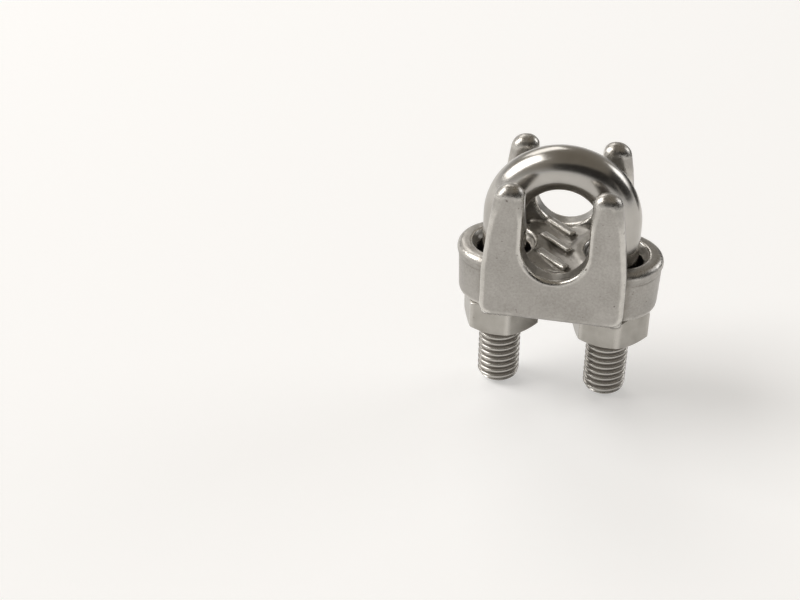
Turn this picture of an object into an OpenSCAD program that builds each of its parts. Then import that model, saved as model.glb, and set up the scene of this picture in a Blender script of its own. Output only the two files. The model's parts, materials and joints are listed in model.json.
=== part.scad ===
// Wire rope clip with a cast saddle: one U-bolt, one saddle and two hex nuts.
// It stands on its two stud ends. +Z is up (arch on top), +X runs from stud to stud,
// Y runs along the rope. The origin is at floor level, midway between the studs.
// Millimetres throughout.

/* [U-bolt] */
// Round bar and thread diameter (M8)
bar_d = 8; // [7:0.1:9]
// Distance between the two stud axes
stud_spacing = 20.4; // [20:0.1:22]
// Height of the arch top above the stud ends
arch_top_z = 50.2; // [48:0.1:54]
// Radius of the flat land pressed into the inside of the arch
arch_land_r = 6.8; // [6.4:0.1:7.4]
// Radius of the flat tip at each stud end
tip_r = 2.6; // [2:0.1:3.5]
// Height of the pointed lead at each stud end
tip_h = 2.2; // [0.8:0.1:3]

/* [Nuts] */
// Hex nut across the flats (M8)
nut_af = 13; // [12.5:0.1:13.5]
// Hex nut height
nut_h = 6.5; // [5.5:0.1:7]
// Radial clearance of the nut bore around the stud
nut_clearance = 0.05; // [0.02:0.01:0.1]
// How far the left nut is turned about its stud, in degrees
nut_left_turn = -12; // [-30:1:30]
// How far the right nut is turned about its stud, in degrees
nut_right_turn = -14; // [-30:1:30]

/* [Saddle] */
// Height of the flat underside that the nuts bear on
saddle_z = 20; // [18:0.1:22]
// Overall length along the rope at the foot of the face plates
saddle_len = 25.8; // [24:0.1:28]
// Lean of each face plate towards the middle, in degrees
plate_lean = 2; // [0:0.5:4]
// Thickness of each face plate
plate_t = 4.2; // [3.5:0.1:5]
// Width of each face plate low down
plate_w = 25.6; // [24:0.1:27]
// Width across both horns near their tips
horn_span = 21.6; // [21:0.1:23]
// Height of the horn tips
horn_top_z = 47.3; // [45:0.1:49]
// Height of the lower edge of each face plate
plate_foot_z = 22; // [21.6:0.1:22.6]
// Outer radius of the round boss about each stud
boss_r = 8.6; // [8.4:0.1:9.2]
// Height of the top of the boss rims
boss_top_z = 30.4; // [29:0.1:31.5]
// Radius of the hole for each leg
leg_hole_r = 4.8; // [4.5:0.05:5.2]

/* [Rope seat] */
// Radius of the rope seat
seat_r = 5.9; // [5.6:0.05:6.1]
// Height of the flat floor between the face plates
floor_z = 30.3; // [30.2:0.05:30.35]
// Height of the raised ridges above that floor
ridge_h = 0.6; // [0.3:0.05:0.8]
// Distance between the ridges along the rope
ridge_pitch = 6.1; // [5:0.1:6.5]
// Slant of the ridges, in degrees
ridge_slant = 44; // [25:1:50]
// How far the ridges sit to the left of the seat's middle
ridge_shift = 0.8; // [0:0.1:1.5]
// Length of each ridge
ridge_len = 8; // [6:0.1:9.6]
// Width of each ridge
ridge_w = 1.6; // [1:0.1:2]

/* [Hidden] */
$fn = 96;
eps = 0.01;
// longer than any part of the saddle, for cuts that go right through
through = 40;
stud_x = stud_spacing / 2;
bar_r = bar_d / 2;
ring_z = arch_top_z - bar_r - stud_x;
seat_z = ring_z;
plate_foot_y = saddle_len / 2;
half_w = plate_w / 2;
nut_r = nut_af / 2 / cos(30);
nut_gap = 0.05;
nut_z = saddle_z - nut_gap - nut_h;
chamfer_r = nut_af / 2 * 0.97;
chamfer_h = 0.8;
chamfer_run = 1.4;
bore_r = bar_r + nut_clearance;
sink_r = bar_r + 0.6;
sink_h = 0.55;
boss_rim_r = 1.4;
boss_base_r = 8.1;
boss_foot_h = 1.2;
boss_foot_run = 1;
boss_neck_r = boss_r - 0.35;
boss_neck_z = boss_top_z - 2 * boss_rim_r + 1.2;
hole_mouth_r = 5.8;
hole_mouth_h = 1.4;
body_base_z = 24;
body_h = 3.6;
body_inset = 0.4;
floor_half_x = 6.3;
floor_half_y = 8.6;
underside_half_y = 9.2;
foot_inset = 0.35;
foot_side_inset = 0.1;
foot_corner = 2;
foot_top_z = 27;
nut_seat_r = 9.9;
nut_seat_flare = 1.6;
nut_seat_h = 1.9;
nut_seat_inner_x = 2;
plate_corner_r = 2.2;
taper_low_z = 32;
taper_mid_z = 39;
taper_mid_x = horn_span / 2 + 0.75;
plate_step_y = 0.3;
plate_step_z = 0.5;
horn_tip_r = 2.4;
horn_x = horn_span / 2 - horn_tip_r;
lip_flare = 0.8;
lip_depth = 0.8;
pocket_half_x = 11;
pocket_half_y = 1.35;
pocket_depth = 0.8;
pocket_shift = 0.1;
// the band's slope lies this far under the line it is built on
band_drop = 1.2;
pad_half_x = 5.6;
pad_r = 1.15;
pad_h = 0.55;
bar_pitch = 1.5;
bar_w = 0.6;
bar_len = 1.5;
bar_turn = 20;
ridge_middle_y = 1;
band_angle = atan2(plate_foot_z - saddle_z - 0.3, plate_foot_y - underside_half_y);

// ---------------------------------------------------------------- U-bolt
module leg(side) {
    translate([side * stud_x, 0, tip_h])
        cylinder(r = bar_r, h = ring_z - tip_h);
    translate([side * stud_x, 0, 0])
        cylinder(r1 = tip_r, r2 = bar_r, h = tip_h);
}

module u_bolt() {
    color([0.66, 0.65, 0.62])
    difference() {
        union() {
            leg(-1);
            leg(1);
            translate([0, 0, ring_z])
                rotate([90, 0, 0])
                rotate_extrude(angle = 180)
                translate([stud_x, 0])
                circle(r = bar_r);
        }
        // the land on the inside of the arch runs out into the legs by itself
        translate([0, 0, ring_z])
            rotate([90, 0, 0])
            cylinder(r = arch_land_r, h = bar_d + 2, center = true);
    }
}

// ---------------------------------------------------------------- nuts
module nut(side, turn) {
    translate([side * stud_x, 0, nut_z])
    difference() {
        intersection() {
            rotate([0, 0, turn])
                cylinder(r = nut_r, h = nut_h, $fn = 6);
            // both end faces are turned down to a round by a shallow cone
            union() {
                cylinder(r1 = chamfer_r, r2 = chamfer_r + chamfer_run, h = chamfer_h);
                translate([0, 0, chamfer_h - eps])
                    cylinder(r = chamfer_r + chamfer_run, h = nut_h - 2 * chamfer_h + 2 * eps);
                translate([0, 0, nut_h - chamfer_h])
                    cylinder(r1 = chamfer_r + chamfer_run, r2 = chamfer_r, h = chamfer_h);
            }
        }
        translate([0, 0, -1])
            cylinder(r = bore_r, h = nut_h + 2);
        translate([0, 0, -eps])
            cylinder(r1 = sink_r, r2 = bore_r, h = sink_h);
        translate([0, 0, nut_h - sink_h + eps])
            cylinder(r1 = bore_r, r2 = sink_r, h = sink_h);
    }
}

module nut_left() {
    color([0.62, 0.61, 0.58]) nut(-1, nut_left_turn);
}

module nut_right() {
    color([0.62, 0.61, 0.58]) nut(1, nut_right_turn);
}

// ---------------------------------------------------------------- saddle
// Outline of one face plate, drawn in X and Z.
module plate_outline() {
    shoulder_z = horn_top_z - horn_tip_r;
    corner_x = half_w - plate_corner_r;
    corner_z = plate_foot_z + plate_corner_r;
    union() {
        polygon([
            [-corner_x, plate_foot_z], [corner_x, plate_foot_z],
            [half_w, corner_z], [half_w, taper_low_z],
            [taper_mid_x, taper_mid_z], [horn_x + horn_tip_r, shoulder_z],
            [-horn_x - horn_tip_r, shoulder_z], [-taper_mid_x, taper_mid_z],
            [-half_w, taper_low_z], [-half_w, corner_z]
        ]);
        for (s = [-1, 1]) {
            translate([s * corner_x, corner_z])
                circle(r = plate_corner_r);
            translate([s * horn_x, shoulder_z])
                circle(r = horn_tip_r);
        }
    }
}

// Section of one face plate, drawn in Y and Z, with a rounded top.
module plate_section() {
    top_r = plate_t / 2;
    back_y = plate_foot_y - plate_t;
    step_y = plate_foot_y - plate_step_y;
    union() {
        polygon([
            [back_y, plate_foot_z - 1], [step_y, plate_foot_z - 1],
            [step_y, plate_foot_z], [plate_foot_y, plate_foot_z + plate_step_z],
            [plate_foot_y, horn_top_z - top_r], [back_y, horn_top_z - top_r]
        ]);
        translate([plate_foot_y - top_r, horn_top_z - top_r])
            circle(r = top_r);
    }
}

module plate(side) {
    mirror([0, side < 0 ? 1 : 0, 0])
    translate([0, plate_foot_y, plate_foot_z])
    rotate([plate_lean, 0, 0])
    translate([0, -plate_foot_y, -plate_foot_z])
    intersection() {
        translate([0, plate_foot_y + 2, 0])
            rotate([90, 0, 0])
            linear_extrude(height = plate_t + 6)
            plate_outline();
        translate([-half_w - 2, 0, 0])
            rotate([90, 0, 90])
            linear_extrude(height = plate_w + 4)
            plate_section();
    }
}

// The foot: flat underside, sloping up and out to the face plates, with its corners cut off.
module foot_block() {
    foot_y = plate_foot_y - foot_inset;
    foot_x = half_w - foot_side_inset;
    slope_top_z = plate_foot_z + 0.1;
    intersection() {
        translate([-foot_x, 0, 0])
            rotate([90, 0, 90])
            linear_extrude(height = 2 * foot_x)
            polygon([
                [-underside_half_y, saddle_z], [underside_half_y, saddle_z],
                [foot_y, slope_top_z], [foot_y, foot_top_z],
                [-foot_y, foot_top_z], [-foot_y, slope_top_z]
            ]);
        translate([0, 0, saddle_z - 1])
            linear_extrude(height = foot_top_z - saddle_z + 2)
            polygon([
                [-foot_x, -foot_y + foot_corner], [-foot_x + foot_corner, -foot_y],
                [foot_x - foot_corner, -foot_y], [foot_x, -foot_y + foot_corner],
                [foot_x, foot_y - foot_corner], [foot_x - foot_corner, foot_y],
                [-foot_x + foot_corner, foot_y], [-foot_x, foot_y - foot_corner]
            ]);
    }
}

// The nut seats swell forward of the straight underside edge.
module nut_seat(side) {
    outer_x = half_w - foot_side_inset;
    half_y = plate_foot_y - 0.4;
    intersection() {
        translate([side * stud_x, 0, saddle_z])
            cylinder(r1 = nut_seat_r, r2 = nut_seat_r + nut_seat_flare, h = nut_seat_h);
        translate([side > 0 ? nut_seat_inner_x : -outer_x, -half_y, saddle_z])
            cube([outer_x - nut_seat_inner_x, 2 * half_y, nut_seat_h + 1]);
    }
}

module boss(side) {
    neck_base_z = saddle_z + boss_foot_h;
    rim_base_z = boss_top_z - 2 * boss_rim_r;
    translate([side * stud_x, 0, 0]) {
        translate([0, 0, neck_base_z])
            cylinder(r1 = boss_base_r, r2 = boss_neck_r, h = boss_neck_z - neck_base_z);
        translate([0, 0, saddle_z])
            cylinder(r1 = boss_base_r - boss_foot_run, r2 = boss_base_r, h = boss_foot_h);
        // rounded rim
        translate([0, 0, boss_top_z - boss_rim_r])
            rotate_extrude()
            translate([boss_r - boss_rim_r, 0])
            circle(r = boss_rim_r);
        translate([0, 0, rim_base_z])
            cylinder(r = boss_r - boss_rim_r, h = boss_top_z - rim_base_z);
    }
}

module leg_hole(side) {
    translate([side * stud_x, 0, saddle_z - 1])
        cylinder(r = leg_hole_r, h = through / 2);
    translate([side * stud_x, 0, boss_top_z - hole_mouth_h])
        cylinder(r1 = leg_hole_r, r2 = hole_mouth_r, h = hole_mouth_h + eps);
    translate([side * stud_x, 0, boss_top_z])
        cylinder(r = hole_mouth_r, h = through / 2);
}

// Round trough for the rope, open upward between the horns.
module rope_seat_cut() {
    inner_x = seat_r - 0.1;
    outer_x = seat_r + 2 * lip_flare;
    translate([0, 0, seat_z])
        rotate([90, 0, 0])
        cylinder(r = seat_r, h = through, center = true);
    translate([-seat_r, -through / 2, seat_z])
        cube([2 * seat_r, through, through]);
    // flared lip at both faces, round below and straight up the horns
    for (side = [0, 1])
        mirror([0, side, 0])
        translate([0, plate_foot_y, plate_foot_z])
        rotate([plate_lean, 0, 0])
        translate([0, 0, seat_z - plate_foot_z]) {
            rotate([-90, 0, 0])
                translate([0, 0, -lip_depth])
                cylinder(r1 = inner_x, r2 = outer_x, h = 2 * lip_depth);
            linear_extrude(height = horn_top_z - seat_z + 2)
                polygon([
                    [-inner_x, -lip_depth], [inner_x, -lip_depth],
                    [outer_x, lip_depth], [-outer_x, lip_depth]
                ]);
        }
}

// The block between the bosses, and the flat floor of the seat on top of it.
module middle() {
    body_x = half_w - body_inset;
    translate([-body_x, -underside_half_y, body_base_z])
        cube([2 * body_x, 2 * underside_half_y, body_h]);
    translate([-floor_half_x, -floor_half_y, body_base_z])
        cube([2 * floor_half_x, 2 * floor_half_y, floor_z - body_base_z]);
}

// Raised slanted ridges that follow the lay of the rope.
module seat_ridges() {
    for (i = [-1, 0, 1])
        translate([-ridge_shift, ridge_middle_y + i * ridge_pitch, floor_z - 1])
        rotate([0, 0, -ridge_slant])
        translate([-ridge_len / 2, -ridge_w / 2, 0])
        cube([ridge_len, ridge_w, ridge_h + 1]);
}

// The sloping band under each face plate: a shallow pocket around a raised pad.
module band_frame(side) {
    mirror([0, side < 0 ? 1 : 0, 0])
    translate([0, (plate_foot_y + underside_half_y) / 2, (plate_foot_z + saddle_z) / 2])
    rotate([band_angle, 0, 0])
    children();
}

module band_pocket(side) {
    floor_z = band_drop + pocket_depth;
    band_frame(side)
    translate([0, -pocket_shift, -band_drop])
    difference() {
        translate([-pocket_half_x, -pocket_half_y, 0])
            cube([2 * pocket_half_x, 2 * pocket_half_y, floor_z]);
        // the pad stays standing
        translate([-pad_half_x + pad_r, -pad_r, floor_z - pad_h])
            cube([2 * (pad_half_x - pad_r), 2 * pad_r, pad_h + 1]);
        for (s = [-1, 1])
            translate([s * (pad_half_x - pad_r), 0, floor_z - pad_h])
            cylinder(r = pad_r, h = pad_h + 1);
        // three plain bars stand a little above it
        for (i = [-1, 0, 1])
            translate([i * bar_pitch, 0, floor_z - pocket_depth])
            rotate([0, 0, bar_turn])
            translate([-bar_w / 2, -bar_len / 2, 0])
            cube([bar_w, bar_len, pocket_depth]);
    }
}

module saddle() {
    color([0.60, 0.58, 0.54])
    difference() {
        union() {
            difference() {
                union() {
                    foot_block();
                    middle();
                    for (s = [-1, 1]) {
                        plate(s);
                        nut_seat(s);
                        boss(s);
                    }
                }
                rope_seat_cut();
            }
            seat_ridges();
        }
        for (s = [-1, 1]) {
            leg_hole(s);
            band_pocket(s);
        }
    }
}

u_bolt();
saddle();
nut_left();
nut_right();
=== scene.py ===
"""Looks of the wire rope clip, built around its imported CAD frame.

The clip stands on its two stud ends. +Z is up, +X runs from stud to stud, Y along the rope.
A mesh is made in millimetres and goes into the scene in metres.
"""

import json
import math

import bpy
import numpy as np
import openvdb
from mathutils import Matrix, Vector


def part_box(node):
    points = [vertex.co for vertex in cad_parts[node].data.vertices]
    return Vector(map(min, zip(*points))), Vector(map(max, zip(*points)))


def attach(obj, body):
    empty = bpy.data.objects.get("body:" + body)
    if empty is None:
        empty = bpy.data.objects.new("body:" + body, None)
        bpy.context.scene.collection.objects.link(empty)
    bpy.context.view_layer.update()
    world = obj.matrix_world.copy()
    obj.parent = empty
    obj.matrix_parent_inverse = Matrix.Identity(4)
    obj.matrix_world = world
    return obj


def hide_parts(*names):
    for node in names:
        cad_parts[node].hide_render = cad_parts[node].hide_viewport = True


MM = 0.001

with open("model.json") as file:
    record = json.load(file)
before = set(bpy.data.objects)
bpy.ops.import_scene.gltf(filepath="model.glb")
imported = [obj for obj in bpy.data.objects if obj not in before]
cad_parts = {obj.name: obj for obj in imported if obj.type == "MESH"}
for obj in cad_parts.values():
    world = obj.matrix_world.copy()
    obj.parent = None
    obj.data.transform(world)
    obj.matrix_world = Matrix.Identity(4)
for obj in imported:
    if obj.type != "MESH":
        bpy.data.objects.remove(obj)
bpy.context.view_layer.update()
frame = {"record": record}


# ---------------------------------------------------------------- sizes, in millimetres
def box_mm(node):
    """The lowest and highest corner of a CAD node."""
    return [[c / MM for c in corner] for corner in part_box(node)]


saddle_low, saddle_high = box_mm("saddle")
bolt_low, bolt_high = box_mm("u_bolt")
nut_low, nut_high = box_mm("nut_right")

# the joint's own ratio says how far a nut travels in one turn
THREAD_PITCH = 2 * math.pi / frame["record"]["behaviour"]["couplings"][0]["ratio"] / MM

STUD_X = (nut_low[0] + nut_high[0]) / 2
BAR_R = (bolt_high[1] - bolt_low[1]) / 2
RING_Z = bolt_high[2] - BAR_R - STUD_X
SEAT_Z = RING_Z
SADDLE_Z = saddle_low[2]
FOOT_Y = saddle_high[1]
HORN_TOP_Z = saddle_high[2]
BOSS_R = saddle_high[0] - STUD_X
NUT_Z = nut_low[2]
NUT_H = nut_high[2] - nut_low[2]

# the same measures as the CAD part's
ARCH_LAND_R = 6.8
SEAT_R = 5.9
PLATE_T = 4.2
PLATE_HALF_W = 12.8
PLATE_FOOT_Z = 22.0
PLATE_LEAN = math.radians(2)
HOLE_R = 4.8
BOSS_TOP_Z = 30.4
FLOOR_Z = 30.3
FLOOR_HALF_Y = 8.6
UNDERSIDE_HALF_Y = 9.2
FOOT_INSET = 0.35
RIDGE_SLANT = math.radians(44)
RIDGE_PITCH = 6.1
RIDGE_H = 0.6
RIDGE_HALF_W = 0.8
RIDGE_X = -0.8
RIDGE_MIDDLE_Y = 1.0
RIDGE_HALF_LEN = 4.0
NUT_AF = 13.0
NUT_TURN = {"nut_left": math.radians(-12), "nut_right": math.radians(-14)}

# thread form: crests stay a little inside the bar, nut and stud stay clear of each other
THREAD_CREST_R = BAR_R - 0.03
THREAD_ROOT_R = BAR_R - 0.68
THREAD_GAP = 0.10
THREAD_TOP_Z = 25.5
ROWS_PER_PITCH = 16

# domed lead at a stud's end
TIP_H = 2.4
TIP_POWER = 2.6

# grid step of the saddle's mesh: 0.25 gives just under 200,000 faces
SADDLE_VOXEL = 0.25


# ---------------------------------------------------------------- shape arithmetic
def smoothstep(low, high, x):
    t = np.clip((x - low) / (high - low), 0, 1)
    return t * t * (3 - 2 * t)


def round_max(a, b, r):
    """The overlap of two solids, with its outer edge rounded to radius r."""
    corner = np.hypot(np.maximum(a + r, 0), np.maximum(b + r, 0))
    return np.minimum(-r, np.maximum(a, b)) + corner


def round_min(a, b, r):
    """Two solids joined, with a fillet of radius r where they meet."""
    return -round_max(-a, -b, r)


def ripple(x, y, z, wavelength, seed):
    """Smooth waves in many directions, from about -1 to 1, the same at every run."""
    rng = np.random.default_rng(seed)
    total = np.zeros_like(x)
    waves = 9
    for _ in range(waves):
        heading = rng.normal(size=3)
        heading *= 2 * math.pi / wavelength / np.linalg.norm(heading)
        phase = rng.uniform(0, 2 * math.pi)
        total += np.sin(heading[0] * x + heading[1] * y + heading[2] * z + phase)
    return total / math.sqrt(waves)


# ---------------------------------------------------------------- the saddle as a distance field
def trough(x, z, radius):
    """The rope's channel: round below its axis, straight-sided and slightly narrower above."""
    squeeze = 1.04
    squeezed = x * squeeze
    return np.where(z < SEAT_Z, np.hypot(squeezed, z - SEAT_Z), np.abs(squeezed)) - radius


def plate_half_width(height):
    """Half the width of a face plate at a height above its foot: straight, then tapering."""
    bend_height, bend_softness, taper = 10, 2.0, 0.068
    past_bend = height - bend_height
    return PLATE_HALF_W - taper * (past_bend + np.hypot(past_bend, bend_softness))


def plates(x, y, z):
    """Both face plates with their horns, leaning towards the middle."""
    horn_round, corner_r = 2.35, 2.2
    # the sides taper, so this makes their distance nearly true again
    side_scale = 0.985
    lean_c, lean_s = math.cos(PLATE_LEAN), math.sin(PLATE_LEAN)
    out = np.abs(y) - FOOT_Y
    up = z - PLATE_FOOT_Z
    outward = out * lean_c + up * lean_s
    height = up * lean_c - out * lean_s
    top = HORN_TOP_Z - PLATE_FOOT_Z

    side = (np.abs(x) - plate_half_width(height)) * side_scale
    outline = round_max(side, -height, corner_r)
    outline = round_max(outline, height - top, horn_round)
    outline = round_max(outline, -trough(x, z, SEAT_R), horn_round)
    slab = np.maximum(outward, -outward - PLATE_T)
    edge_r, extra_at_tip = 0.95, 1.1
    return round_max(outline, slab, edge_r + extra_at_tip * smoothstep(top - 7, top - 1, height))


def slope(y, z):
    """Distance below the sloping band under a face plate, and position along it."""
    overlap = 0.1
    run = FOOT_Y - FOOT_INSET - UNDERSIDE_HALF_Y
    rise = PLATE_FOOT_Z + overlap - SADDLE_Z
    length = math.hypot(run, rise)
    along_y, along_z = run / length, rise / length
    dy = np.abs(y) - UNDERSIDE_HALF_Y
    dz = z - SADDLE_Z
    return dy * along_z - dz * along_y, dy * along_y + dz * along_z - length / 2


def foot(x, y, z):
    """The base: flat underside, sloping up and out to the face plates."""
    top_z, side_inset, corner_r = 24.5, 0.5, 2.0
    below, _ = slope(y, z)
    shape = round_max(below, SADDLE_Z - z, 0.5)
    side = np.abs(x) - PLATE_HALF_W + side_inset
    plan = round_max(side, np.abs(y) - FOOT_Y + FOOT_INSET, corner_r)
    return round_max(shape, np.maximum(z - top_z, plan), 0.4)


def nut_seats(x, y, z):
    """The underside swells forward around each nut."""
    low_r, flare, height = 9.9, 0.84, 2.0
    front_inset, side_inset = 0.45, 0.15
    # the cone is wide, so this makes its distance nearly true again
    cone_scale = 0.77
    radius = low_r + flare * (z - SADDLE_Z)
    cone = (np.hypot(np.abs(x) - STUD_X, y) - radius) * cone_scale
    shape = round_max(cone, SADDLE_Z - z, 0.35)
    shape = np.maximum(shape, z - SADDLE_Z - height)
    shape = np.maximum(shape, np.abs(y) - FOOT_Y + front_inset)
    return round_max(shape, np.abs(x) - PLATE_HALF_W + side_inset, 0.7)


def bosses(x, y, z):
    """The round boss about each leg, with a bead round its top."""
    rim_half, rim_proud, draft = 1.4, 0.5, 0.03
    base_round, body_drop = 1.2, 1.2
    rho = np.hypot(np.abs(x) - STUD_X, y)
    body_r = BOSS_R - rim_proud + draft * (z - SADDLE_Z)
    body = round_max(rho - body_r, SADDLE_Z - z, base_round)
    body = np.maximum(body, z - BOSS_TOP_Z + body_drop)
    rim = np.abs(z - BOSS_TOP_Z + rim_half) - rim_half
    rim = round_max(rho - BOSS_R, rim, rim_half - 0.02)
    return round_min(body, rim, 0.18)


def core(x, y, z):
    """The block between the bosses, under the face plates."""
    middle_z, half_h, side_inset = 25.8, 1.8, 0.4
    block = np.maximum(np.abs(x) - PLATE_HALF_W + side_inset, np.abs(y) - UNDERSIDE_HALF_Y)
    return round_max(block, np.abs(z - middle_z) - half_h, 0.6)


def seat_floor(x, y, z):
    """The flat floor of the seat, between the face plates and from hole to hole."""
    half_x, middle_z = 6.4, 27.5
    plan = np.maximum(np.abs(x) - half_x, np.abs(y) - FLOOR_HALF_Y)
    slab = round_max(plan, np.abs(z - middle_z) - FLOOR_Z + middle_z, 0.15)
    return round_max(slab, -trough(x, z, SEAT_R), 1.5)


def leg_holes(x, y, z):
    """The hole for each leg, wider at its mouth."""
    mouth_flare = 0.9
    mouth = smoothstep(BOSS_TOP_Z - 1.8, BOSS_TOP_Z - 0.3, z)
    return np.hypot(np.abs(x) - STUD_X, y) - HOLE_R - mouth_flare * mouth


def ridges(x, y, z):
    """Slanted bars on the seat's floor that follow the lay of the rope."""
    shape = np.full_like(x, 1e3)
    root_depth = 1
    cos_s, sin_s = math.cos(RIDGE_SLANT), math.sin(RIDGE_SLANT)
    for place in (-1, 0, 1):
        dy = y - RIDGE_MIDDLE_Y - place * RIDGE_PITCH
        along = (x - RIDGE_X) * cos_s - dy * sin_s
        across = (x - RIDGE_X) * sin_s + dy * cos_s
        bar = round_max(np.abs(across) - RIDGE_HALF_W, np.abs(along) - RIDGE_HALF_LEN, 0.4)
        shape = np.minimum(shape, bar)
    return round_max(shape, np.abs(z - FLOOR_Z + root_depth) - RIDGE_H - root_depth, 0.35)


def band_pockets(x, y, z):
    """The sunk panel in each sloping band. A pad and three plain bars stand up in it."""
    panel_half_x, panel_half_along, panel_depth = 11.0, 1.35, 0.8
    pad_half_x, pad_r, pad_below = 4.45, 1.15, 0.25
    bar_pitch, bar_half_w, bar_half_len, bar_below = 1.5, 0.28, 0.7, 0.02
    # cosine and sine of the bars' slant
    slant_c, slant_s = 0.94, 0.34
    below, along = slope(y, z)
    panel = round_max(np.abs(x) - panel_half_x, np.abs(along) - panel_half_along, 0.5)
    panel = round_max(panel, -below - panel_depth, 0.25)
    pad = np.hypot(np.maximum(np.abs(x) - pad_half_x, 0), along) - pad_r
    pad = round_max(pad, below + pad_below, 0.2)
    bars = np.full_like(x, 1e3)
    for place in (-1, 0, 1):
        across = (x - bar_pitch * place) * slant_c - along * slant_s
        bar = round_max(np.abs(across) - bar_half_w, np.abs(along) - bar_half_len, 0.15)
        bars = np.minimum(bars, bar)
    bars = round_max(bars, below + bar_below, 0.12)
    return round_max(panel, -np.minimum(pad, bars), 0.1)


def saddle_distance(x, y, z):
    """Signed distance to the saddle's surface, negative inside."""
    shape = round_min(core(x, y, z), bosses(x, y, z), 0.6)
    shape = round_min(shape, plates(x, y, z), 0.45)
    shape = round_min(shape, foot(x, y, z), 0.12)
    shape = round_min(shape, nut_seats(x, y, z), 0.25)
    shape = round_max(shape, -trough(x, z, SEAT_R), 0.25)
    shape = round_min(shape, seat_floor(x, y, z), 0.5)
    shape = round_min(shape, ridges(x, y, z), 0.22)
    bead_r = 0.4 + 0.15 * smoothstep(BOSS_TOP_Z - 2.5, BOSS_TOP_Z - 1.5, z)
    shape = round_max(shape, -leg_holes(x, y, z), bead_r)
    shape = round_max(shape, -band_pockets(x, y, z), 0.2)
    # the fillets swell a little where flat faces meet, so the underside is cut flat again
    shape = np.maximum(shape, SADDLE_Z - z)
    # a casting is never quite flat, and the waves stay inside the CAD surface
    waves = 0.022 * ripple(x, y, z, 7.0, 3) + 0.007 * ripple(x, y, z, 1.7, 5)
    inset = 0.045
    return shape + inset + waves


# ---------------------------------------------------------------- meshes
def add_mesh(name, points, faces, attributes=None):
    """A smooth mesh object from points in millimetres, with one number per point for each attribute."""
    mesh = bpy.data.meshes.new(name)
    mesh.from_pydata((points * MM).tolist(), [], faces)
    mesh.validate()
    for key, values in (attributes or {}).items():
        layer = mesh.attributes.new(key, "FLOAT", "POINT")
        layer.data.foreach_set("value", values.astype(np.float32))
    mesh.shade_smooth()
    thing = bpy.data.objects.new(name, mesh)
    bpy.context.scene.collection.objects.link(thing)
    return thing


def gradient(distance, points, step):
    """A distance field's slope and value at each point, and how convex the surface is there."""
    slope_of = np.zeros_like(points)
    centre = distance(*points.T)
    bend = -6 * centre
    for axis in range(3):
        shift = np.zeros(3)
        shift[axis] = step
        ahead = distance(*(points + shift).T)
        behind = distance(*(points - shift).T)
        slope_of[:, axis] = (ahead - behind) / (2 * step)
        bend += ahead + behind
    return slope_of, centre, bend / step**2


def field_mesh(name, distance, low, high, voxel):
    """Meshes the zero surface of a distance field, with each point moved onto the surface."""
    margin = 4 * voxel
    axes = [np.arange(low[i] - margin, high[i] + margin, voxel) for i in range(3)]
    grid_x, grid_y, grid_z = np.meshgrid(*axes, indexing="ij")
    values = distance(grid_x, grid_y, grid_z)
    grid = openvdb.FloatGrid(10.0)
    grid.copyFromArray(values)
    points, quads = grid.convertToQuads(0.0)
    points = points * voxel + np.array([a[0] for a in axes])
    for _ in range(3):
        toward, centre, _ = gradient(distance, points, 0.02)
        length = np.maximum((toward**2).sum(1), 0.2)
        points = points - toward * (np.clip(centre, -voxel, voxel) / length)[:, None]
    toward, _, bend = gradient(distance, points, 0.25)
    edges = points[quads[:, 1]] - points[quads[:, 0]]
    others = points[quads[:, 3]] - points[quads[:, 0]]
    facing = (np.cross(edges, others) * toward[quads[:, 0]]).sum(1).mean()
    if facing < 0:
        quads = quads[:, ::-1]
    # a place is sheltered where the open space in front of it is narrow; the casting's colour is
    # darkened there as painted shade
    outward = toward / np.linalg.norm(toward, axis=1, keepdims=True)
    probe = 3.0
    open_space = distance(*(points + probe * outward).T) / probe
    sheltered = smoothstep(0.95, 0.1, open_space)
    attributes = {
        "edge": smoothstep(0.35, 1.6, bend),
        "cavity": np.maximum(smoothstep(0.4, 2.4, -bend), sheltered),
    }
    return add_mesh(name, points, quads.tolist(), attributes)


def ring_faces(rows, columns, closed=False):
    """Quads of a tube whose points run round each ring and then from ring to ring."""
    faces = []
    for row in range(rows if closed else rows - 1):
        here, there = row * columns, (row + 1) % rows * columns
        for column in range(columns):
            beside = (column + 1) % columns
            faces.append((here + column, here + beside, there + beside, there + column))
    return faces


# ---------------------------------------------------------------- threads
def thread_shape(z, angle):
    """1 on the crest and 0 in the root of the right-hand thread, at a height and an angle."""
    turn = (z / THREAD_PITCH - angle / (2 * math.pi)) % 1
    ramp = np.abs(2 * turn - 1)
    return smoothstep(0.16, 0.74, ramp)


def thread_radius(z, angle):
    return THREAD_ROOT_R + (THREAD_CREST_R - THREAD_ROOT_R) * thread_shape(z, angle)


# ---------------------------------------------------------------- U-bolt
def tip_radius(z):
    """Radius of the domed lead at a stud's end."""
    fall = 1 - np.clip(z / TIP_H, 0, 1)
    return BAR_R * (1 - fall**2) ** (1 / TIP_POWER)


def leg_heights():
    """Heights of the rings up one leg: close at the tip, even on the thread, wide on the plain bar."""
    cap_r = np.array([0.35, 0.8, 1.3, 1.8, 2.2, 2.5])
    cap = TIP_H * (1 - np.sqrt(1 - (cap_r / BAR_R) ** TIP_POWER))
    thread = np.arange(cap[-1] + 0.06, THREAD_TOP_Z, THREAD_PITCH / ROWS_PER_PITCH)
    plain = np.arange(THREAD_TOP_Z, RING_Z, 0.35)
    return np.concatenate([cap, thread, plain])


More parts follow.
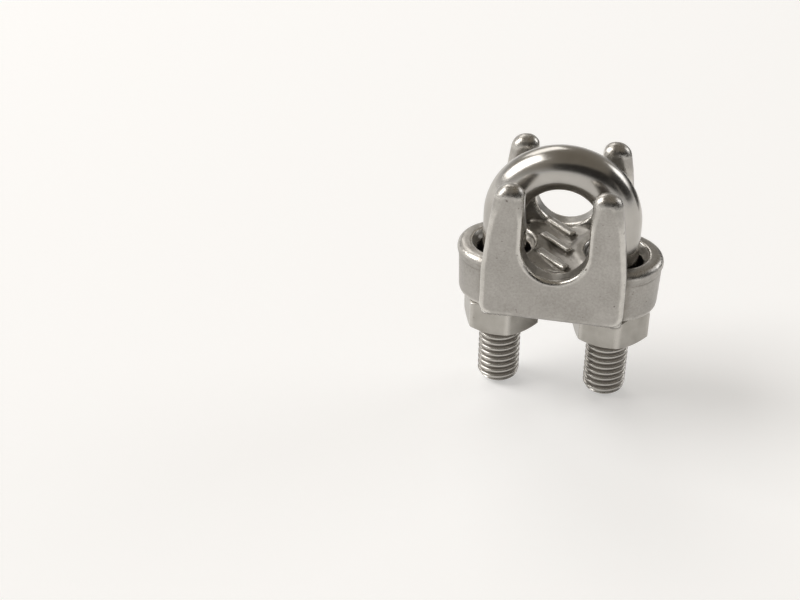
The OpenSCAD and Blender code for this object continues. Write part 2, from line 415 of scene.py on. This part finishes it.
def leg_rings(side, columns):
    """Rings of points up one leg, and how deep in the thread each point is."""
    turn = np.linspace(0, 2 * math.pi, columns, endpoint=False)[None, :]
    z = leg_heights()[:, None] + 0 * turn
    angle = turn if side > 0 else math.pi - turn
    fade = smoothstep(THREAD_TOP_Z - 2.2, THREAD_TOP_Z, z)
    threaded = thread_radius(z, angle)
    radius = np.minimum(threaded * (1 - fade) + BAR_R * fade, tip_radius(z))
    root = (1 - thread_shape(z, angle)) * (1 - fade) * smoothstep(0.6, 2.4, z)
    points = np.stack([side * (STUD_X + radius * np.cos(turn)), radius * np.sin(turn), z], -1)
    return points, root


def arch_rings(columns):
    """Rings of points round the arch, from the left leg to the right one."""
    steps = 150
    sweep = np.linspace(math.pi, 0, steps)[:, None]
    turn = np.linspace(0, 2 * math.pi, columns, endpoint=False)[None, :]
    reach = STUD_X + BAR_R * np.cos(turn)
    y = BAR_R * np.sin(turn) + 0 * sweep
    return np.stack([reach * np.cos(sweep), y, RING_Z + reach * np.sin(sweep)], -1)


def press_land(points):
    """Flattens the inside of the arch to a land, with a slightly soft edge."""
    softness = 0.12
    rise = points[:, 2] - RING_Z
    reach = np.hypot(points[:, 0], rise)
    gap = reach - ARCH_LAND_R
    pushed = ARCH_LAND_R + (gap + np.sqrt(gap**2 + softness**2)) / 2
    near = reach < ARCH_LAND_R + 1.5
    scale = np.where(near, pushed / reach, 1.0)
    points[:, 0] *= scale
    points[:, 2] = RING_Z + rise * scale
    return smoothstep(0.25, -0.05, gap)


def u_bolt():
    """The bent bar: domed stud ends, rolled threads, plain legs and the arch."""
    columns = 96
    left, left_root = leg_rings(-1, columns)
    right, right_root = leg_rings(1, columns)
    arch = arch_rings(columns)
    rings = np.concatenate([left, arch, right[::-1]])
    root = np.concatenate([left_root, np.zeros(arch.shape[:2]), right_root[::-1]])
    rows = len(rings)
    points = rings.reshape(-1, 3)
    land = press_land(points)
    tips = np.array([[-STUD_X, 0, 0], [STUD_X, 0, 0]])
    first, last = rows * columns, rows * columns + 1
    faces = ring_faces(rows, columns)
    for column in range(columns):
        beside = (column + 1) % columns
        faces.append((first, beside, column))
        faces.append((last, (rows - 1) * columns + column, (rows - 1) * columns + beside))
    attributes = {
        "cavity": np.append(root.ravel(), [0, 0]),
        "edge": np.append(land, [0, 0]),
    }
    return add_mesh("u_bolt_bar", np.vstack([points, tips]), faces, attributes)


# ---------------------------------------------------------------- nuts
def rounded_section(corners, radius, steps):
    """A line through corners, each rounded off. A corner is a radius and a height per column."""
    section = [corners[0]]
    for before, corner, after in zip(corners, corners[1:], corners[2:]):
        back, ahead = before - corner, after - corner
        back_len = np.linalg.norm(back, axis=-1, keepdims=True)
        ahead_len = np.linalg.norm(ahead, axis=-1, keepdims=True)
        cut = np.minimum(radius, 0.45 * np.minimum(back_len, ahead_len))
        start = corner + back / np.maximum(back_len, 1e-6) * cut
        end = corner + ahead / np.maximum(ahead_len, 1e-6) * cut
        for t in np.linspace(0, 1, steps):
            section.append((1 - t) ** 2 * start + 2 * t * (1 - t) * corner + t * t * end)
    section.append(corners[-1])
    return section


def hex_radius(angle):
    """Outer radius of the hexagon with slightly rounded corners."""
    sharpness = 90
    total = sum(
        np.maximum(np.cos(angle - k * math.pi / 3), 0) ** sharpness for k in range(6)
    )
    return NUT_AF / 2 / total ** (1 / sharpness)


def nut_columns():
    """Angles round the nut, measured from the middle of a flat and closer together at the corners."""
    per_side = 26
    t = np.linspace(-1, 1, per_side, endpoint=False)
    local = np.sign(t) * (1 - (1 - np.abs(t)) ** 1.6) * math.pi / 6
    return np.concatenate([local + k * math.pi / 3 for k in range(6)])


def nut(name):
    """A hex nut chamfered on both faces, with a countersunk, threaded bore."""
    side = -1 if name == "nut_left" else 1
    local = nut_columns()
    angle = local + NUT_TURN[name] + math.pi / 6
    ones = np.ones_like(local)
    face_r, sink_r, sink_slope = 6.2, BAR_R + 0.62, 1.15
    wall_r = hex_radius(local)
    chamfer_slope, least_drop = 0.56, 0.08
    drop = np.maximum((wall_r - face_r) * chamfer_slope, least_drop)

    def corner(radius, height):
        return np.stack([radius * ones, height * ones], -1)

    outside = rounded_section(
        [
            corner(sink_r, 0),
            corner(face_r, 0),
            corner(wall_r, drop),
            corner(wall_r, NUT_H / 2),
            corner(wall_r, NUT_H - drop),
            corner(face_r, NUT_H),
            corner(sink_r, NUT_H),
        ],
        0.16,
        4,
    )
    bore = []
    heights = np.linspace(NUT_H, 0, int(NUT_H / THREAD_PITCH * ROWS_PER_PITCH))[1:-1]
    for height in heights:
        threaded = thread_radius(NUT_Z + height, angle) + THREAD_GAP
        sink = sink_r - sink_slope * min(height, NUT_H - height)
        bore.append(corner(np.maximum(threaded, sink), height))
    section = np.array(outside + bore)
    radius, height = section[..., 0], section[..., 1] + NUT_Z
    points = np.stack(
        [side * STUD_X + radius * np.cos(angle), radius * np.sin(angle), height], -1
    )
    rows, columns = radius.shape
    faces = ring_faces(rows, columns, closed=True)
    worn = smoothstep(NUT_AF / 2 + 0.55, NUT_AF / 2 + 0.9, radius)
    inside = smoothstep(BAR_R + 0.4, BAR_R - 0.3, radius)
    attributes = {"edge": worn.ravel(), "cavity": inside.ravel()}
    return add_mesh(name + "_hex", points.reshape(-1, 3), faces, attributes)


# ---------------------------------------------------------------- materials
class Nodes:
    """A short way to write a material's nodes."""

    def __init__(self, name):
        self.material = bpy.data.materials.new(name)
        self.material.use_nodes = True
        self.tree = self.material.node_tree
        self.shader = self.tree.nodes["Principled BSDF"]
        self.place = self.add("ShaderNodeTexCoord").outputs["Object"]

    def add(self, kind, **settings):
        node = self.tree.nodes.new(kind)
        for key, value in settings.items():
            setattr(node, key, value)
        return node

    def link(self, source, target):
        if isinstance(source, (int, float, tuple)):
            target.default_value = source
        else:
            self.tree.links.new(source, target)

    def noise(self, size, detail=2.0, stretch=None, roughness=0.5):
        """Noise whose features are about that size, in millimetres."""
        place = self.place
        if stretch:
            mapping = self.add("ShaderNodeMapping")
            mapping.inputs["Scale"].default_value = stretch
            self.link(place, mapping.inputs["Vector"])
            place = mapping.outputs["Vector"]
        node = self.add("ShaderNodeTexNoise")
        node.inputs["Scale"].default_value = 1 / (size * MM)
        node.inputs["Detail"].default_value = detail
        node.inputs["Roughness"].default_value = roughness
        self.link(place, node.inputs["Vector"])
        return node.outputs["Fac"]

    def attribute(self, name):
        node = self.add("ShaderNodeAttribute", attribute_name=name)
        return node.outputs["Fac"]

    def spread(self, value, low, high, to_low=0.0, to_high=1.0):
        """Maps a value from low..high to another range, and clips it there."""
        node = self.add("ShaderNodeMapRange")
        self.link(value, node.inputs["Value"])
        limits = {"From Min": low, "From Max": high, "To Min": to_low, "To Max": to_high}
        for key, number in limits.items():
            node.inputs[key].default_value = number
        return node.outputs["Result"]

    def math(self, operation, a, b):
        node = self.add("ShaderNodeMath", operation=operation)
        self.link(a, node.inputs[0])
        self.link(b, node.inputs[1])
        return node.outputs["Value"]

    def mix(self, share, a, b):
        """A colour between two colours."""
        node = self.add("ShaderNodeMix", data_type="RGBA")
        self.link(share, node.inputs["Factor"])
        self.link(a, node.inputs["A"])
        self.link(b, node.inputs["B"])
        return node.outputs["Result"]

    def bump(self, height, depth, under=None):
        """A bump of that depth, in millimetres, on top of another one."""
        node = self.add("ShaderNodeBump")
        node.inputs["Strength"].default_value = 1.0
        node.inputs["Distance"].default_value = depth * MM
        self.link(height, node.inputs["Height"])
        if under is not None:
            self.link(under, node.inputs["Normal"])
        return node.outputs["Normal"]

    def finish(self, colour, roughness, normal):
        self.shader.inputs["Metallic"].default_value = 1.0
        self.link(colour, self.shader.inputs["Base Color"])
        self.link(roughness, self.shader.inputs["Roughness"])
        self.link(normal, self.shader.inputs["Normal"])
        return self.material


def cast_steel():
    """Satin stainless casting: fine grain, a few pits, bright rubbed edges, rough hollows with painted
    shade.
    """
    n = Nodes("cast_satin_steel")
    edge, cavity = n.attribute("edge"), n.attribute("cavity")
    cloud = n.noise(5.0, 3.0)
    grain = n.noise(0.26, 4.0, roughness=0.7)
    pits = n.spread(n.noise(0.9, 1.0), 0.27, 0.20)
    speck = n.spread(n.noise(0.38, 3.0, roughness=0.7), 0.35, 0.65)
    mottle = n.math("ADD", n.spread(cloud, 0.3, 0.7, 0, 0.5), n.math("MULTIPLY", speck, 0.5))
    plain = n.mix(mottle, (0.315, 0.30, 0.277, 1), (0.45, 0.432, 0.407, 1))
    bright = n.mix(edge, plain, (0.66, 0.64, 0.60, 1))
    # painted shade: the colour darkens in creases and in sheltered places, where less light reaches
    with_hollow_shade = n.mix(n.spread(cavity, 0, 1, 0, 0.6), bright, (0.20, 0.18, 0.15, 1))
    colour = n.mix(n.math("MULTIPLY", pits, 0.75), with_hollow_shade, (0.12, 0.10, 0.09, 1))
    satin = n.spread(grain, 0.3, 0.7, 0.25, 0.47)
    rubbed = n.math("MULTIPLY", edge, 0.17)
    rough = n.math("ADD", satin, n.math("MULTIPLY", cavity, 0.08))
    roughness = n.math("SUBTRACT", rough, rubbed)
    # the skin is rougher in the hollows, where no tool has smoothed it
    skin = n.math("MULTIPLY", n.noise(0.4, 3.0, roughness=0.6), cavity)
    swell = n.bump(n.noise(2.2, 2.0), 0.10)
    coarse = n.bump(skin, 0.22, swell)
    low = n.bump(grain, 0.026, coarse)
    normal = n.bump(n.math("SUBTRACT", 1.0, pits), 0.03, low)
    return n.finish(colour, roughness, normal)


def polished_bar():
    """Polished stainless bar: near mirror with faint wiping marks; darker and rougher in the thread
    roots.
    """
    n = Nodes("polished_bar_steel")
    edge, root = n.attribute("edge"), n.attribute("cavity")
    cloud = n.noise(6.0, 2.0)
    wiped = n.noise(0.22, 4.0, stretch=(1.0, 0.12, 1.0), roughness=0.7)
    plain = n.mix(n.spread(cloud, 0.3, 0.7), (0.43, 0.412, 0.384, 1), (0.505, 0.487, 0.459, 1))
    land = n.mix(n.math("MULTIPLY", edge, 0.35), plain, (0.47, 0.46, 0.43, 1))
    # the colour is darker in the thread roots
    colour = n.mix(n.spread(root, 0.35, 1.0, 0, 0.8), land, (0.16, 0.14, 0.12, 1))
    shine = n.spread(wiped, 0.3, 0.7, 0.17, 0.27)
    matt_land = n.math("ADD", shine, n.math("MULTIPLY", edge, 0.1))
    roughness = n.math("ADD", matt_land, n.math("MULTIPLY", root, 0.2))
    normal = n.bump(wiped, 0.0015, n.bump(cloud, 0.05))
    return n.finish(colour, roughness, normal)


def nut_steel():
    """Satin stainless nut: tumbled, with slightly brighter corners and a dark bore."""
    n = Nodes("nut_satin_steel")
    edge, bore = n.attribute("edge"), n.attribute("cavity")
    cloud = n.noise(3.0, 3.0)
    grain = n.noise(0.13, 3.0, roughness=0.6)
    nicks = n.spread(n.noise(0.7, 2.0), 0.29, 0.22)
    plain = n.mix(n.spread(cloud, 0.3, 0.7), (0.36, 0.343, 0.312, 1), (0.45, 0.432, 0.40, 1))
    bright = n.mix(edge, plain, (0.53, 0.51, 0.475, 1))
    shaded = n.mix(n.math("MULTIPLY", bore, 0.55), bright, (0.20, 0.18, 0.16, 1))
    colour = n.mix(n.math("MULTIPLY", nicks, 0.6), shaded, (0.16, 0.14, 0.12, 1))
    satin = n.spread(grain, 0.25, 0.75, 0.24, 0.38)
    roughness = n.math("SUBTRACT", satin, n.math("MULTIPLY", edge, 0.03))
    normal = n.bump(n.math("SUBTRACT", 1.0, nicks), 0.02, n.bump(grain, 0.006))
    return n.finish(colour, roughness, normal)


# ---------------------------------------------------------------- pieces on their bodies
def place_piece(piece, node, material):
    """The piece stands for a CAD node, rides on its body and takes its finish from a slot."""
    piece.data.materials.append(material)
    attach(piece, node)
    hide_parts(node)


def build_clip():
    casting = field_mesh(
        "saddle_casting", saddle_distance, saddle_low, saddle_high, SADDLE_VOXEL
    )
    place_piece(casting, "saddle", cast_steel())
    place_piece(u_bolt(), "u_bolt", polished_bar())
    hex_steel = nut_steel()
    for name in ("nut_left", "nut_right"):
        place_piece(nut(name), name, hex_steel)


# ---------------------------------------------------------------- studio
def direction(azimuth, elevation):
    """Unit vector from the clip, for angles in degrees. Azimuth 0 is at -Y and 90 at +X."""
    az, el = math.radians(azimuth), math.radians(elevation)
    return Vector((math.sin(az) * math.cos(el), -math.cos(az) * math.cos(el), math.sin(el)))


def flat_material(name, colour):
    material = bpy.data.materials.new(name)
    material.use_nodes = True
    shader = material.node_tree.nodes["Principled BSDF"]
    shader.inputs["Base Color"].default_value = colour
    shader.inputs["Roughness"].default_value = 0.9
    shader.inputs["Specular IOR Level"].default_value = 0.1
    return material


def floor():
    """A wide pale sheet that glows a little, so that it stays pale towards the horizon."""
    half = 6.0
    corners = [(-half, -half, 0), (half, -half, 0), (half, half, 0), (-half, half, 0)]
    mesh = bpy.data.meshes.new("floor")
    mesh.from_pydata(corners, [], [(0, 1, 2, 3)])
    thing = bpy.data.objects.new("floor", mesh)
    paper = flat_material("floor_paper", (0.80, 0.80, 0.80, 1))
    shader = paper.node_tree.nodes["Principled BSDF"]
    shader.inputs["Emission Color"].default_value = (1, 1, 1, 1)
    shader.inputs["Emission Strength"].default_value = 0.30
    mesh.materials.append(paper)
    bpy.context.scene.collection.objects.link(thing)


def dark_card(name, azimuth, elevation, distance, width, height, shade):
    """A dark card that only shows in reflections."""
    spot = direction(azimuth, elevation)
    mesh = bpy.data.meshes.new(name)
    w, h = width / 2, height / 2
    mesh.from_pydata([(-w, -h, 0), (w, -h, 0), (w, h, 0), (-w, h, 0)], [], [(0, 1, 2, 3)])
    mesh.materials.append(flat_material(name + "_cloth", (shade, shade * 0.95, shade * 0.9, 1)))
    card = bpy.data.objects.new(name, mesh)
    card.location = spot * distance
    card.rotation_euler = spot.to_track_quat("Z", "Y").to_euler()
    card.visible_camera = False
    card.visible_diffuse = False
    card.visible_shadow = False
    bpy.context.scene.collection.objects.link(card)


def soft_light(name, azimuth, elevation, distance, size, power, colour):
    """A soft box aimed at the clip."""
    spot = direction(azimuth, elevation)
    light = bpy.data.lights.new(name, "AREA")
    light.shape = "RECTANGLE"
    light.size, light.size_y = size
    light.energy = power
    light.color = colour
    lamp = bpy.data.objects.new(name, light)
    lamp.location = spot * distance
    lamp.rotation_euler = spot.to_track_quat("Z", "Y").to_euler()
    bpy.context.scene.collection.objects.link(lamp)


def sky():
    """Pale at the horizon and a darker, warmer grey towards the top."""
    world = bpy.data.worlds.new("studio")
    world.use_nodes = True
    tree = world.node_tree
    place = tree.nodes.new("ShaderNodeTexCoord")
    split = tree.nodes.new("ShaderNodeSeparateXYZ")
    ramp = tree.nodes.new("ShaderNodeValToRGB")
    tree.links.new(place.outputs["Generated"], split.inputs["Vector"])
    tree.links.new(split.outputs["Z"], ramp.inputs["Fac"])
    bands = ramp.color_ramp.elements
    bands[0].position = 0.0
    bands[0].color = (0.93, 0.925, 0.915, 1)
    bands[1].position = 1.0
    bands[1].color = (0.22, 0.195, 0.16, 1)
    bands.new(0.18).color = (0.50, 0.49, 0.475, 1)
    bands.new(0.45).color = (0.31, 0.285, 0.25, 1)
    background = tree.nodes["Background"]
    tree.links.new(ramp.outputs["Color"], background.inputs["Color"])
    background.inputs["Strength"].default_value = 1.0
    bpy.context.scene.world = world


def studio():
    """Daylight from the left and from behind, a weak fill, and cards for the dark reflections."""
    daylight, cool_light = (1.0, 0.985, 0.965), (0.97, 0.98, 1.0)
    floor()
    sky()
    soft_light("window_left", -85, 38, 2.7, (1.8, 2.1), 50, daylight)
    soft_light("window_back", -150, 40, 3.0, (1.8, 1.2), 14, daylight)
    soft_light("fill_right", 125, 24, 3.0, (1.5, 1.05), 12, cool_light)
    dark_card("card_front", 24, 33, 0.75, 1.0, 0.50, 0.025)
    dark_card("card_right", 90, 26, 0.75, 0.60, 0.50, 0.03)
    dark_card("card_back", 142, 10, 0.18, 0.16, 0.062, 0.03)
    bpy.context.scene.view_settings.view_transform = "Standard"


# ---------------------------------------------------------------- camera
def camera():
    """Looks down from the front, a little to the right. The clip stands right of the middle."""
    azimuth, elevation, distance = 12.27, 32.67, 0.2546
    aim = Vector((-30.2, 2.1, 13.2)) * MM
    data = bpy.data.cameras.new("camera")
    data.sensor_width = 36
    data.lens = 59
    data.clip_start = 0.005
    eye = bpy.data.objects.new("camera", data)
    eye.location = aim + direction(azimuth, elevation) * distance
    eye.rotation_euler = (math.pi / 2 - math.radians(elevation), 0, math.radians(azimuth))
    bpy.context.scene.collection.objects.link(eye)
    bpy.context.scene.camera = eye


camera()
studio()
build_clip()
